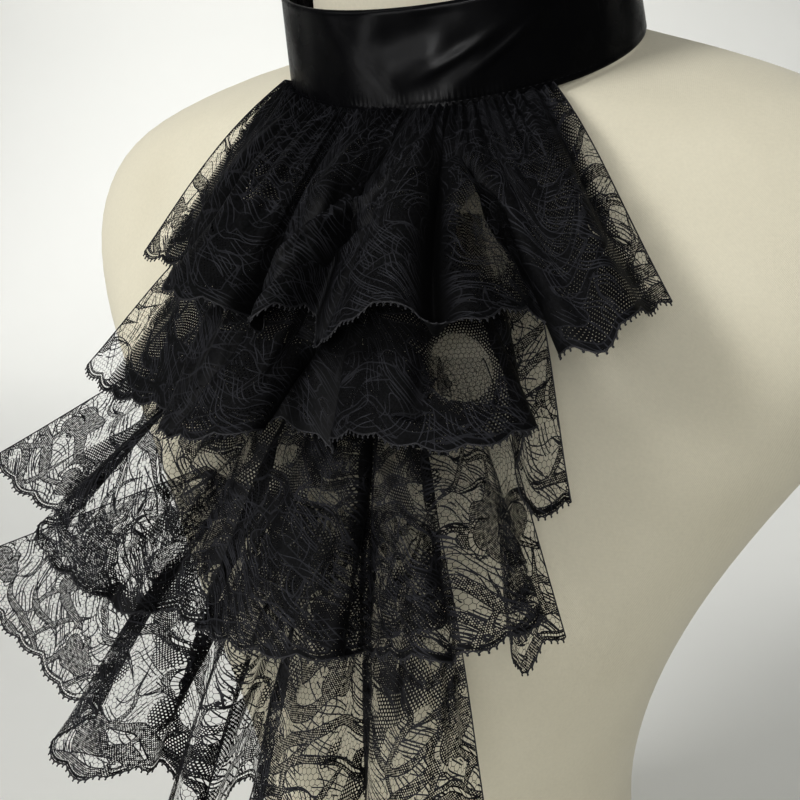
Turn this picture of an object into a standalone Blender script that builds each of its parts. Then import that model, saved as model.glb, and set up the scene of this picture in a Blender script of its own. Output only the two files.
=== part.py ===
"""A lace jabot collar, worn on a limbless dress form.

A stand neckband of satin closes behind the neck. A net panel hangs from the front of the
band, and four gathered lace tiers fall over each other: the first is sewn into the band's
lower edge, the others along lines on the panel. Every cloth piece is a thin closed wall.

Metres, +Z up. The wearer faces -Y, and the wearer's left is at +X. The origin is the centre
of the form's flat underside, straight below the middle of the neckband's lower edge. Sizes
below are in millimetres and are scaled once, in add_mesh.
"""

import bpy
import numpy as np
from math import cos, pi, radians, sin

MM = 0.001

# The neckband: a ring leaning forward with the neck. Its ends lap behind the neck, where the
# outer one is lifted clear between the two lift angles.
NECK_HEIGHT = 385.0
NECK_TILT = radians(22.0)
BAND_RADIUS = 65.0
BAND_TOP_RADIUS = 61.6
BAND_HEIGHT = 33.0
BAND_WALL = 2.0
BAND_OVERLAP = radians(24.0)
BAND_LIFT_START = radians(120.0)
BAND_LIFT_END = radians(168.0)
BAND_OVERLAP_GAP = 0.5
BAND_STEPS = 56

# The net panel that carries the three lower tiers.
PANEL_WALL = 0.8
PANEL_RADIUS = 62.1
PANEL_ARC = radians(47.0)
PANEL_STEPS = 14

# The lace tiers.
LACE_WALL = 1.0
SEAM_GAP = 0.6
BAND_SEAM_RADIUS = 64.2
BAND_SEAM_DROP = 1.1
TIER_STEPS = 3
TIER_ROWS = 6

# The dress form: superelliptic sections from the underside to the neck's domed top, whose
# crown stands a little above the last section.
FORM_STEPS = 40
FORM_POWER = 2.1
FORM_CROWN = 1.5

# Sections of the form, heights counted from the middle of the neckband's lower edge.
# tilt: degrees the section leans down at the front; forward: how far its middle lies in
# front of the neck's middle; height: of its middle; half_width and half_depth of the section.
FORM_SECTIONS = [
    # tilt, forward, height, half_width, half_depth
    (0.0, 0.0, -385.0, 96.0, 86.0),
    (0.0, 0.0, -377.0, 97.0, 87.0),
    (0.0, 0.0, -340.0, 84.0, 79.0),
    (0.0, 1.0, -300.0, 76.0, 74.0),
    (0.0, 4.0, -265.0, 80.0, 80.0),
    (0.0, 8.0, -230.0, 90.0, 88.0),
    (0.0, 8.0, -192.0, 107.0, 92.0),
    (3.0, 4.0, -152.0, 132.0, 88.0),
    (6.0, 0.0, -112.0, 161.0, 81.0),
    (10.0, -4.0, -76.0, 175.0, 71.0),
    (14.0, -5.0, -47.0, 170.0, 63.0),
    (17.0, -4.0, -27.0, 151.0, 56.0),
    (20.0, -3.0, -13.0, 113.0, 52.0),
    (22.0, -1.0, -6.5, 80.0, 52.5),
    (22.0, 0.5, -3.0, 61.0, 54.0),
    (22.0, 2.0, 3.0, 53.0, 52.0),
    (22.0, 10.0, 24.0, 50.0, 49.5),
    (22.0, 19.0, 46.0, 48.0, 47.5),
    (22.0, 21.0, 53.0, 44.0, 43.5),
    (22.0, 22.5, 57.0, 32.0, 31.5),
]

# The panel below the band. height as above; half_width; forward: of its middle line;
# setback: how much further back its side edges lie than its middle.
PANEL_SECTIONS = [
    # height, half_width, forward, setback
    (-44.0, 51.0, 69.0, 14.0),
    (-62.0, 55.0, 75.0, 13.0),
    (-84.0, 56.0, 81.0, 12.0),
    (-106.0, 55.0, 87.0, 12.0),
    (-130.0, 53.0, 94.5, 12.0),
    (-154.0, 51.0, 101.0, 12.0),
]

# The hem of each tier, from the wearer's right to left, one row for each ridge, valley or
# turned-under layer. seam: where that fold starts, in degrees round the band for the first
# tier and in millimetres along the seam for the others; across: to the wearer's left of the
# middle; forward: in front of the neck's middle; height: as above.
TIER_1_FOLDS = [
    # seam, across, forward, height
    (-60.0, -92.0, 76.0, -76.0),
    (-55.0, -60.0, 90.0, -78.0),
    (-50.0, -38.0, 103.0, -81.0),
    (-44.0, -48.0, 118.0, -80.0),
    (-30.0, -32.0, 130.0, -82.0),
    (-18.0, -18.0, 128.0, -83.0),
    (-10.0, -15.0, 114.0, -85.0),
    (-3.0, -9.0, 127.0, -88.0),
    (1.0, -2.0, 135.0, -84.0),
    (5.0, 3.0, 129.0, -82.0),
    (8.0, 5.0, 114.0, -86.0),
    (11.0, 12.0, 126.0, -93.0),
    (14.0, 28.0, 136.0, -84.0),
    (17.0, 43.0, 139.0, -77.0),
    (19.5, 54.0, 138.0, -82.0),
    (22.0, 65.0, 130.0, -81.0),
    (24.5, 70.0, 116.0, -80.0),
    (27.5, 72.0, 104.0, -84.0),
    (32.0, 91.0, 114.0, -91.0),
    (38.0, 98.0, 104.0, -81.0),
    (44.0, 99.0, 90.0, -82.0),
    (50.0, 102.0, 78.0, -80.0),
]
TIER_2_FOLDS = [
    # seam, across, forward, height
    (-58.0, -108.0, 92.0, -117.0),
    (-53.0, -82.0, 106.0, -122.0),
    (-47.0, -56.0, 114.0, -121.0),
    (-43.0, -38.0, 120.0, -122.0),
    (-37.0, -43.0, 131.0, -124.0),
    (-25.0, -24.0, 141.0, -122.0),
    (-13.0, -8.0, 138.0, -119.0),
    (-8.0, -6.0, 120.0, -119.0),
    (-2.0, 4.0, 120.0, -121.0),
    (4.0, 15.0, 126.0, -122.0),
    (9.0, 32.0, 138.0, -114.0),
    (15.0, 48.0, 144.0, -114.0),
    (22.0, 62.0, 143.0, -114.0),
    (28.0, 73.0, 136.0, -112.0),
    (33.0, 79.0, 122.0, -110.0),
    (37.0, 71.0, 111.0, -118.0),
    (41.0, 66.0, 104.0, -130.0),
    (44.0, 71.0, 103.0, -142.0),
    (47.0, 75.0, 98.0, -142.0),
    (50.0, 79.0, 91.0, -141.0),
]
TIER_3_FOLDS = [
    # seam, across, forward, height
    (-57.0, -135.0, 112.0, -149.0),
    (-53.0, -122.0, 117.0, -157.0),
    (-49.0, -104.0, 121.0, -161.0),
    (-45.0, -88.0, 125.0, -164.0),
    (-41.0, -88.0, 139.0, -160.0),
    (-36.0, -78.0, 146.0, -167.0),
    (-30.0, -59.0, 150.0, -173.0),
    (-25.0, -46.0, 144.0, -181.0),
    (-20.0, -40.0, 134.0, -182.0),
    (-15.0, -26.0, 140.0, -181.0),
    (-7.0, -3.0, 154.0, -177.0),
    (2.0, 19.0, 160.0, -174.0),
    (8.0, 31.0, 153.0, -175.0),
    (12.0, 33.0, 134.0, -180.0),
    (17.0, 44.0, 146.0, -174.0),
    (22.0, 61.0, 158.0, -166.0),
    (27.0, 73.0, 156.0, -163.0),
    (31.0, 82.0, 146.0, -161.0),
    (34.0, 86.0, 132.0, -160.0),
    (37.0, 77.0, 122.0, -168.0),
    (39.0, 71.0, 117.0, -178.0),
    (41.0, 73.0, 112.0, -188.0),
    (43.0, 77.0, 105.0, -181.0),
    (45.0, 81.0, 98.0, -180.0),
]
TIER_4_FOLDS = [
    # seam, across, forward, height
    (-52.0, -148.0, 116.0, -190.0),
    (-48.0, -126.0, 124.0, -208.0),
    (-44.0, -103.0, 129.0, -216.0),
    (-40.0, -90.0, 132.0, -224.0),
    (-37.0, -72.0, 133.0, -227.0),
    (-33.0, -80.0, 148.0, -233.0),
    (-28.0, -60.0, 156.0, -236.0),
    (-23.0, -48.0, 148.0, -234.0),
    (-20.0, -46.0, 134.0, -240.0),
    (-18.0, -40.0, 132.0, -246.0),
    (-15.0, -37.0, 147.0, -256.0),
    (-11.0, -29.0, 153.0, -257.0),
    (-8.0, -21.0, 146.0, -255.0),
    (-5.0, -20.0, 129.0, -242.0),
    (-1.0, -13.0, 127.0, -239.0),
    (3.0, -7.0, 140.0, -247.0),
    (6.0, 0.0, 152.0, -252.0),
    (11.0, 15.0, 158.0, -250.0),
    (15.0, 29.0, 154.0, -248.0),
    (18.0, 31.0, 131.0, -252.0),
    (22.0, 41.0, 147.0, -248.0),
    (27.0, 54.0, 153.0, -241.0),
    (32.0, 64.0, 145.0, -237.0),
    (37.0, 70.0, 127.0, -236.0),
]

# height of each lower tier's seam on the panel, and how much each tier first stands out
# before it falls (0: straight from seam to hem, 1: a quarter round).
TIERS = [
    # name, folds, seam_height, roundness
    ("lace_tier_1", TIER_1_FOLDS, None, 0.25),
    ("lace_tier_2", TIER_2_FOLDS, -58.0, 0.15),
    ("lace_tier_3", TIER_3_FOLDS, -102.0, 0.10),
    ("lace_tier_4", TIER_4_FOLDS, -150.0, 0.15),
]

SATIN_BLACK = (0.012, 0.012, 0.015)
LACE_BLACK = (0.016, 0.016, 0.019)
NET_BLACK = (0.022, 0.022, 0.025)
CANVAS = (0.66, 0.60, 0.47)


def clear_scene():
    for obj in list(bpy.data.objects):
        bpy.data.objects.remove(obj, do_unlink=True)


def make_material(name, colour, roughness):
    material = bpy.data.materials.new(name)
    material.use_nodes = True
    shader = material.node_tree.nodes["Principled BSDF"]
    shader.inputs["Base Color"].default_value = (*colour, 1.0)
    shader.inputs["Roughness"].default_value = roughness
    shader.inputs["Metallic"].default_value = 0.0
    return material


def add_mesh(name, points, faces, material):
    """Adds one closed mesh; points are in millimetres from the middle of the neckband's edge."""
    lifted = (np.asarray(points, float) + (0.0, 0.0, NECK_HEIGHT)) * MM
    mesh = bpy.data.meshes.new(name)
    mesh.from_pydata([tuple(point) for point in lifted], [], faces)
    mesh.shade_smooth()
    mesh.set_sharp_from_angle(angle=radians(40.0))
    mesh.materials.append(material)
    obj = bpy.data.objects.new(name, mesh)
    bpy.context.scene.collection.objects.link(obj)
    return obj


def wall_from_grid(grid, wall):
    """Turns a grid of points (rows down, columns across) into a closed wall of that thickness."""
    rows, columns = grid.shape[:2]
    down = np.gradient(grid, axis=0)
    across = np.gradient(grid, axis=1)
    normal = np.cross(down, across)
    normal /= np.linalg.norm(normal, axis=2, keepdims=True)
    front = (grid + normal * wall / 2).reshape(-1, 3)
    back = (grid - normal * wall / 2).reshape(-1, 3)
    count = rows * columns
    faces = []
    for row in range(rows - 1):
        for column in range(columns - 1):
            a = row * columns + column
            b, c, d = a + 1, a + columns + 1, a + columns
            faces.append((a, d, c, b))
            faces.append((count + a, count + b, count + c, count + d))
    top = list(range(columns))
    right = [row * columns + columns - 1 for row in range(1, rows)]
    bottom = [(rows - 1) * columns + column for column in range(columns - 2, -1, -1)]
    left = [row * columns for row in range(rows - 2, 0, -1)]
    rim = top + right + bottom + left
    for first, second in zip(rim, rim[1:] + rim[:1]):
        faces.append((first, second, count + second, count + first))
    return np.vstack([front, back]), faces


def smooth_rows(rows, steps):
    """Points along a smooth curve through the rows, every column alike, in steps from each row."""
    rows = np.asarray(rows, float)
    knots = np.vstack([2 * rows[0] - rows[1], rows, 2 * rows[-1] - rows[-2]])
    fine = []
    for index in range(len(rows) - 1):
        p0, p1, p2, p3 = knots[index:index + 4]
        for t in np.arange(steps) / steps:
            fine.append(0.5 * (2 * p1 + (p2 - p0) * t + (2 * p0 - 5 * p1 + 4 * p2 - p3) * t**2
                               + (3 * p1 - p0 - 3 * p2 + p3) * t**3))
    fine.append(rows[-1])
    return np.array(fine)


def ring_point(radius, angle, above):
    """A point at an angle round the neck from the front, above the band's lower edge."""
    along = -cos(angle) * radius
    return np.array([
        sin(angle) * radius,
        along * cos(NECK_TILT) - above * sin(NECK_TILT),
        along * sin(NECK_TILT) + above * cos(NECK_TILT),
    ])


def panel_point(across, height):
    """A point on the middle of the panel's wall, at a distance across and a height."""
    heights, widths, forwards, setbacks = np.array(PANEL_SECTIONS)[::-1].T
    width = np.interp(height, heights, widths)
    forward = np.interp(height, heights, forwards)
    setback = np.interp(height, heights, setbacks)
    return np.array([across, -(forward - setback * (across / width) ** 2), height])


def panel_grid():
    """The band end of the panel follows the ring; below it the sections take over."""
    rows = [[ring_point(PANEL_RADIUS, angle, -BAND_SEAM_DROP)
             for angle in np.linspace(-PANEL_ARC, PANEL_ARC, PANEL_STEPS + 1)]]
    for height, half_width, _forward, _setback in PANEL_SECTIONS:
        rows.append([panel_point(across, height)
                     for across in np.linspace(-half_width, half_width, PANEL_STEPS + 1)])
    return np.array(rows)


def seam_point(seam, seam_height):
    """Where a fold starts: on the band's lower edge, or on its seam across the panel."""
    if seam_height is None:
        return ring_point(BAND_SEAM_RADIUS, radians(seam), -BAND_SEAM_DROP)
    lift = PANEL_WALL / 2 + SEAM_GAP + LACE_WALL / 2
    return panel_point(seam, seam_height) + np.array([0.0, -lift, 0.0])


def tier_grid(folds, seam_height, roundness, steps, rows):
    """A tier from seam to hem, in steps between its folds: each runs from its place on the seam."""
    hem = smooth_rows(folds, steps)
    top = np.array([seam_point(seam, seam_height) for seam in hem[:, 0]])
    bottom = np.column_stack([hem[:, 1], -hem[:, 2], hem[:, 3]])
    grid = []
    for share in np.linspace(0, 1, rows + 1):
        outward = (1 - roundness) * share + roundness * sin(share * pi / 2)
        downward = (1 - roundness) * share + roundness * (1 - cos(share * pi / 2))
        mix = np.array([share, outward, downward])
        grid.append(top + (bottom - top) * mix)
    return np.array(grid)


def add_tiers(material):
    for name, folds, seam_height, roundness in TIERS:
        grid = tier_grid(folds, seam_height, roundness, TIER_STEPS, TIER_ROWS)
        points, faces = wall_from_grid(grid, LACE_WALL)
        add_mesh(name, points, faces, material)


def add_panel(material):
    points, faces = wall_from_grid(panel_grid(), PANEL_WALL)
    add_mesh("net_panel", points, faces, material)


def add_neckband(material):
    """One strip round the neck whose ends overlap behind it, the outer end lifted clear."""
    angles = np.linspace(-pi - BAND_OVERLAP / 2, pi + BAND_OVERLAP / 2, BAND_STEPS + 1)
    lift_to = BAND_WALL + BAND_OVERLAP_GAP
    lifts = np.interp(angles, (BAND_LIFT_START, BAND_LIFT_END), (0.0, lift_to))
    rows = []
    for above in (BAND_HEIGHT, BAND_HEIGHT / 2, 0.0):
        radius = BAND_RADIUS + (BAND_TOP_RADIUS - BAND_RADIUS) * above / BAND_HEIGHT - BAND_WALL / 2
        rows.append([ring_point(radius + lift, angle, above) for angle, lift in zip(angles, lifts)])
    points, faces = wall_from_grid(np.array(rows), BAND_WALL)
    add_mesh("neckband", points, faces, material)


def form_ring(tilt, forward, height, half_width, half_depth):
    """One closed section of the form, leaning down at the front by its tilt."""
    lean = radians(tilt)
    ring = []
    for step in range(FORM_STEPS):
        angle = 2 * pi * step / FORM_STEPS
        across = abs(cos(angle)) ** (2 / FORM_POWER) * half_width
        depth = abs(sin(angle)) ** (2 / FORM_POWER) * half_depth
        across = across if cos(angle) >= 0 else -across
        depth = depth if sin(angle) >= 0 else -depth
        ring.append((across, depth * cos(lean) - forward, depth * sin(lean) + height))
    return ring


def add_dress_form(material):
    points = [point for section in FORM_SECTIONS for point in form_ring(*section)]
    count = len(FORM_SECTIONS)
    faces = []
    for level in range(count - 1):
        for step in range(FORM_STEPS):
            a = level * FORM_STEPS + step
            b = level * FORM_STEPS + (step + 1) % FORM_STEPS
            faces.append((a, b, b + FORM_STEPS, a + FORM_STEPS))
    faces.append(tuple(range(FORM_STEPS - 1, -1, -1)))
    top = (count - 1) * FORM_STEPS
    tilt, forward, height = FORM_SECTIONS[-1][:3]
    lean = radians(tilt)
    crown = len(points)
    points.append((0.0, -forward - FORM_CROWN * sin(lean), height + FORM_CROWN * cos(lean)))
    for step in range(FORM_STEPS):
        faces.append((top + step, top + (step + 1) % FORM_STEPS, crown))
    add_mesh("dress_form", points, faces, material)


def main():
    clear_scene()
    add_dress_form(make_material("form_canvas", CANVAS, 0.9))
    add_neckband(make_material("neckband_satin", SATIN_BLACK, 0.3))
    add_panel(make_material("panel_net", NET_BLACK, 0.8))
    add_tiers(make_material("tier_lace", LACE_BLACK, 0.7))


main()
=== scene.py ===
"""Looks for a lace jabot collar worn on a limbless dress form.

The collar is a satin stand neckband, a plain net panel under it and four gathered lace tiers.
Each cloth piece is a thin shell on the form of its solid, in the same frame: metres, +Z up,
the wearer facing -Y with the wearer's left at +X. Sizes below are in millimetres from the
middle of the neckband's lower edge, and are scaled once, when a mesh is made.
"""

from math import cos, pi, radians, sin, sqrt

import bpy
import numpy as np
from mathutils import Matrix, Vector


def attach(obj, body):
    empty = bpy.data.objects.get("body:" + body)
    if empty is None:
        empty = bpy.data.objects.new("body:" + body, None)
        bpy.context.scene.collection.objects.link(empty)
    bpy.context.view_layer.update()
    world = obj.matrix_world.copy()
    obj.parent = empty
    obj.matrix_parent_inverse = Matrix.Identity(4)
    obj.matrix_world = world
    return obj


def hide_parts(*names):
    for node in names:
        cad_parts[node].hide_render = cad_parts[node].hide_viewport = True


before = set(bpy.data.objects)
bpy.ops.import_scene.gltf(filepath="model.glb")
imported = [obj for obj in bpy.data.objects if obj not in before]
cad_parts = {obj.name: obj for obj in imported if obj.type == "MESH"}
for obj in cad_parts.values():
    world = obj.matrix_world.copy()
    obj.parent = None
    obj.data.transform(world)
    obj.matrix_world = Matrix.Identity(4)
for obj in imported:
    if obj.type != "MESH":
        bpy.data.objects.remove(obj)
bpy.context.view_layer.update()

MM = 0.001

# The neckband: a ring leaning forward with the neck, its ends lapped behind the neck.
NECK_HEIGHT = 385.0
NECK_TILT = radians(22.0)
BAND_RADIUS = 65.0
BAND_TOP_RADIUS = 61.6
BAND_HEIGHT = 33.0
BAND_WALL = 2.0
BAND_OVERLAP = radians(24.0)
BAND_LIFT_START = radians(120.0)
BAND_LIFT_END = radians(168.0)
BAND_OVERLAP_GAP = 0.5

# How the worn band sits: how far it has slipped down at the front, and how far it stands off
# the neck on the wearer's left. Then its seam: the puckers over it and the stitches on it.
BAND_DROP = 2.7
BAND_STAND = 3.2
PUCKER_SPACING = 1.9
PUCKER_DEPTH = 0.16
STITCH_HEIGHT = 2.4
STITCH_SPACING = 2.3
STITCH_RADIUS = 0.13

# The net panel that carries the three lower tiers, and the tiers' seams.
PANEL_WALL = 0.8
PANEL_RADIUS = 62.1
PANEL_ARC = radians(47.0)
LACE_WALL = 1.0
SEAM_GAP = 0.6
BAND_SEAM_RADIUS = 64.2
BAND_SEAM_DROP = 1.1

# The lace: the spacing of its mesh, its close gathers at the seam and the softer ones below,
# the scallops and picots of its edge, its thread, and how often its round figures come again.
LACE_STEP = 0.74
GATHER_SPACING = 3.1
SOFT_SPACING = 9.7
SOFT_DEPTH = 2.4
SCALLOP_WIDTH = 13.5
SCALLOP_DEPTH = 2.0
PICOT_WIDTH = 2.3
PICOT_REACH = 1.3
PICOT_RADIUS = 0.22
CORD_RADIUS = 0.24
REPEAT = 58.0

# The net: the size of a cell of the lace's ground and of the panel's net. The honeycomb only
# works above 0, so what it reads is moved on by NET_START cells.
LACE_CELL = 1.95
PANEL_CELL = 1.3
NET_START = 40.0

# The panel below the band. height: as above; half_width: from its middle to its side edges;
# forward: how far its middle line lies in front of the neck's middle; setback: how much
# further back its side edges lie.
PANEL_SECTIONS = [
    # height, half_width, forward, setback
    (-44.0, 51.0, 69.0, 14.0),
    (-62.0, 55.0, 75.0, 13.0),
    (-84.0, 56.0, 81.0, 12.0),
    (-106.0, 55.0, 87.0, 12.0),
    (-130.0, 53.0, 94.5, 12.0),
    (-154.0, 51.0, 101.0, 12.0),
]

# The hem of each tier, from the wearer's right to left, one row for each ridge, valley or
# turned-under layer. seam: where that fold starts, in degrees round the band for the first
# tier and in millimetres along the seam for the others; across: to the wearer's left of the
# middle; forward: in front of the neck's middle; height: as above.
TIER_1_FOLDS = [
    # seam, across, forward, height
    (-60.0, -92.0, 76.0, -76.0),
    (-55.0, -60.0, 90.0, -78.0),
    (-50.0, -38.0, 103.0, -81.0),
    (-44.0, -48.0, 118.0, -80.0),
    (-30.0, -32.0, 130.0, -82.0),
    (-18.0, -18.0, 128.0, -83.0),
    (-10.0, -15.0, 114.0, -85.0),
    (-3.0, -9.0, 127.0, -88.0),
    (1.0, -2.0, 135.0, -84.0),
    (5.0, 3.0, 129.0, -82.0),
    (8.0, 5.0, 114.0, -86.0),
    (11.0, 12.0, 126.0, -93.0),
    (14.0, 28.0, 136.0, -84.0),
    (17.0, 43.0, 139.0, -77.0),
    (19.5, 54.0, 138.0, -82.0),
    (22.0, 65.0, 130.0, -81.0),
    (24.5, 70.0, 116.0, -80.0),
    (27.5, 72.0, 104.0, -84.0),
    (32.0, 91.0, 114.0, -91.0),
    (38.0, 98.0, 104.0, -81.0),
    (44.0, 99.0, 90.0, -82.0),
    (50.0, 102.0, 78.0, -80.0),
]
TIER_2_FOLDS = [
    # seam, across, forward, height
    (-58.0, -108.0, 92.0, -117.0),
    (-53.0, -82.0, 106.0, -122.0),
    (-47.0, -56.0, 114.0, -121.0),
    (-43.0, -38.0, 120.0, -122.0),
    (-37.0, -43.0, 131.0, -124.0),
    (-25.0, -24.0, 141.0, -122.0),
    (-13.0, -8.0, 138.0, -119.0),
    (-8.0, -6.0, 120.0, -119.0),
    (-2.0, 4.0, 120.0, -121.0),
    (4.0, 15.0, 126.0, -122.0),
    (9.0, 32.0, 138.0, -114.0),
    (15.0, 48.0, 144.0, -114.0),
    (22.0, 62.0, 143.0, -114.0),
    (28.0, 73.0, 136.0, -112.0),
    (33.0, 79.0, 122.0, -110.0),
    (37.0, 71.0, 111.0, -118.0),
    (41.0, 66.0, 104.0, -130.0),
    (44.0, 71.0, 103.0, -142.0),
    (47.0, 75.0, 98.0, -142.0),
    (50.0, 79.0, 91.0, -141.0),
]
TIER_3_FOLDS = [
    # seam, across, forward, height
    (-57.0, -135.0, 112.0, -149.0),
    (-53.0, -122.0, 117.0, -157.0),
    (-49.0, -104.0, 121.0, -161.0),
    (-45.0, -88.0, 125.0, -164.0),
    (-41.0, -88.0, 139.0, -160.0),
    (-36.0, -78.0, 146.0, -167.0),
    (-30.0, -59.0, 150.0, -173.0),
    (-25.0, -46.0, 144.0, -181.0),
    (-20.0, -40.0, 134.0, -182.0),
    (-15.0, -26.0, 140.0, -181.0),
    (-7.0, -3.0, 154.0, -177.0),
    (2.0, 19.0, 160.0, -174.0),
    (8.0, 31.0, 153.0, -175.0),
    (12.0, 33.0, 134.0, -180.0),
    (17.0, 44.0, 146.0, -174.0),
    (22.0, 61.0, 158.0, -166.0),
    (27.0, 73.0, 156.0, -163.0),
    (31.0, 82.0, 146.0, -161.0),
    (34.0, 86.0, 132.0, -160.0),
    (37.0, 77.0, 122.0, -168.0),
    (39.0, 71.0, 117.0, -178.0),
    (41.0, 73.0, 112.0, -188.0),
    (43.0, 77.0, 105.0, -181.0),
    (45.0, 81.0, 98.0, -180.0),
]
TIER_4_FOLDS = [
    # seam, across, forward, height
    (-52.0, -148.0, 116.0, -190.0),
    (-48.0, -126.0, 124.0, -208.0),
    (-44.0, -103.0, 129.0, -216.0),
    (-40.0, -90.0, 132.0, -224.0),
    (-37.0, -72.0, 133.0, -227.0),
    (-33.0, -80.0, 148.0, -233.0),
    (-28.0, -60.0, 156.0, -236.0),
    (-23.0, -48.0, 148.0, -234.0),
    (-20.0, -46.0, 134.0, -240.0),
    (-18.0, -40.0, 132.0, -246.0),
    (-15.0, -37.0, 147.0, -256.0),
    (-11.0, -29.0, 153.0, -257.0),
    (-8.0, -21.0, 146.0, -255.0),
    (-5.0, -20.0, 129.0, -242.0),
    (-1.0, -13.0, 127.0, -239.0),
    (3.0, -7.0, 140.0, -247.0),
    (6.0, 0.0, 152.0, -252.0),
    (11.0, 15.0, 158.0, -250.0),
    (15.0, 29.0, 154.0, -248.0),
    (18.0, 31.0, 131.0, -252.0),
    (22.0, 41.0, 147.0, -248.0),
    (27.0, 54.0, 153.0, -241.0),
    (32.0, 64.0, 145.0, -237.0),
    (37.0, 70.0, 127.0, -236.0),
]

# seam_height: of each lower tier's seam; roundness: how much the tier first stands out before
# it falls; filling: how closely its ground is worked; shift: how far its design is moved on
# from the other tiers'; gather and gather_reach: how deep its gathers are at the seam, and how
# far down they reach.
TIERS = [
    # name, folds, seam_height, roundness, filling, shift, gather, gather_reach
    ("lace_tier_1", TIER_1_FOLDS, None, 0.25, 0.66, 0.0, 2.4, 26.0),
    ("lace_tier_2", TIER_2_FOLDS, -58.0, 0.15, 0.62, 21.0, 2.5, 26.0),
    ("lace_tier_3", TIER_3_FOLDS, -102.0, 0.10, 0.32, 37.0, 3.0, 34.0),
    ("lace_tier_4", TIER_4_FOLDS, -150.0, 0.15, 0.19, 9.0, 4.0, 54.0),
]

# The round figures of one repeat of the lace. along: the strip; up: above the hem; disc: its
# radius; ladder: the outer radius of the eyelets round it; cloth: the reach of the patch of
# cloth that holds it; turn: of the whole figure; aside: how far the cloth lies off the disc.
ROUNDS = [
    # along, up, disc, ladder, cloth, turn, aside
    (13.0, 15.0, 3.2, 5.2, 9.5, 0.3, 3.0),
    (45.0, 31.0, 4.2, 6.4, 11.0, 2.0, -3.4),
    (21.0, 62.0, 3.0, 4.8, 8.5, 0.9, 2.6),
    (49.0, 86.0, 3.6, 5.6, 9.5, 0.5, -3.0),
]

# Places left as open net. tier: its number; along and up: the middle, in parts of the strip's
# length and drop; reach_along and reach_up: half its size in millimetres; clear: how far the
# figures and cords are left out of it too.
OPENINGS = [
    # tier, along, up, reach_along, reach_up, clear
    (1, 0.02, 0.50, 8.5, 60.0, 0.0),
    (1, 0.755, 0.30, 15.0, 22.0, 0.3),
    (1, 0.99, 0.50, 7.0, 60.0, 0.0),
    (2, 0.03, 0.50, 16.0, 60.0, 0.0),
    (2, 0.738, 0.28, 12.0, 13.0, 1.0),
    (2, 0.84, 0.90, 34.0, 32.0, 0.5),
    (2, 0.95, 0.40, 26.0, 60.0, 0.0),
    (3, 0.93, 0.95, 42.0, 40.0, 0.9),
    (3, 0.03, 0.45, 24.0, 60.0, 0.0),
    (3, 0.24, 0.40, 16.0, 40.0, 0.0),
    (3, 0.88, 0.45, 44.0, 150.0, 0.0),
    (4, 0.10, 0.35, 46.0, 120.0, 0.0),
]

# Main creases, placed one by one. Each runs between two places on the strip, given as a length
# along it and a share of the drop, and swerves by bow in between. depth: below 0 for a trough;
# lap: how far the cloth beside a trough is drawn over it, along the strip.
CREASES = [
    # tier, top_along, top_share, end_along, end_share, bow, half_width, depth, lap
    (1, 186.0, 0.14, 119.0, 1.02, 5.0, 7.0, -9.5, 2.0),
    (1, 250.0, 0.20, 126.0, 1.02, -13.0, 2.6, 3.5, 0.0),
    (1, 254.0, 0.30, 138.0, 1.02, -9.0, 5.0, -8.0, -1.0),
    (1, 244.0, 0.06, 250.0, 0.98, 0.0, 5.4, -11.0, 0.0),
    (1, 249.0, 0.20, 303.0, 1.02, 14.0, 5.0, -8.0, -3.5),
    (1, 62.0, 0.10, 44.0, 1.02, 0.0, 5.0, -3.0, 1.0),
    (1, 98.0, 0.12, 82.0, 0.90, 3.0, 4.0, -2.6, 0.0),
    (1, 214.0, 0.30, 196.0, 1.00, 4.0, 4.0, -3.0, 0.0),
    (2, 178.0, 0.20, 136.0, 1.02, 0.0, 5.0, -6.0, 3.5),
    (2, 185.0, 0.15, 168.0, 1.02, 0.0, 7.0, -7.0, -2.0),
    (2, 222.0, 0.30, 214.0, 0.90, 3.0, 3.5, -3.0, 0.0),
    (2, 124.0, 0.25, 98.0, 1.00, 4.0, 3.2, -2.6, 0.0),
    (2, 250.0, 0.15, 259.0, 1.02, 0.0, 4.0, -5.0, -2.0),
    (3, 104.0, 0.20, 110.0, 1.02, 0.0, 4.0, -5.0, 0.0),
    (3, 160.0, 0.20, 150.0, 1.02, 0.0, 4.0, -6.0, -3.0),
    (3, 219.0, 0.15, 216.0, 1.02, 2.0, 3.0, -6.0, 2.5),
    (3, 232.0, 0.15, 229.0, 1.02, -2.0, 2.5, -5.0, -2.0),
    (3, 279.0, 0.15, 281.0, 1.02, 0.0, 4.0, -5.0, -1.2),
    (4, 150.0, 0.25, 158.0, 1.02, 0.0, 4.0, -5.0, 2.0),
    (4, 205.0, 0.25, 207.0, 1.02, 0.0, 4.0, -5.0, -2.0),
    (4, 252.0, 0.25, 258.0, 1.02, 3.0, 4.0, -4.0, 0.0),
    (4, 322.0, 0.25, 327.0, 1.02, 0.0, 3.5, -5.0, 2.0),
]


def ring_point(radius, angle, above):
    """Points at angles round the neck from the front, above the band's lower edge."""
    radius, angle, above = np.broadcast_arrays(radius, angle, above)
    along = -np.cos(angle) * radius
    return np.stack([
        np.sin(angle) * radius,
        along * cos(NECK_TILT) - above * sin(NECK_TILT),
        along * sin(NECK_TILT) + above * cos(NECK_TILT),
    ], axis=-1)


def panel_point(across, height):
    """Points on the middle of the panel's wall, at distances across and heights."""
    across, height = np.broadcast_arrays(across, height)
    heights, widths, forwards, setbacks = np.array(PANEL_SECTIONS)[::-1].T
    width = np.interp(height, heights, widths)
    forward = np.interp(height, heights, forwards)
    setback = np.interp(height, heights, setbacks)
    return np.stack([across, -(forward - setback * (across / width) ** 2), height], axis=-1)


def band_drop(angle):
    """How far the band has slipped down over the lace at the front."""
    return BAND_DROP * np.exp(-((np.degrees(angle) - 10.0) / 110.0) ** 4)


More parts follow.
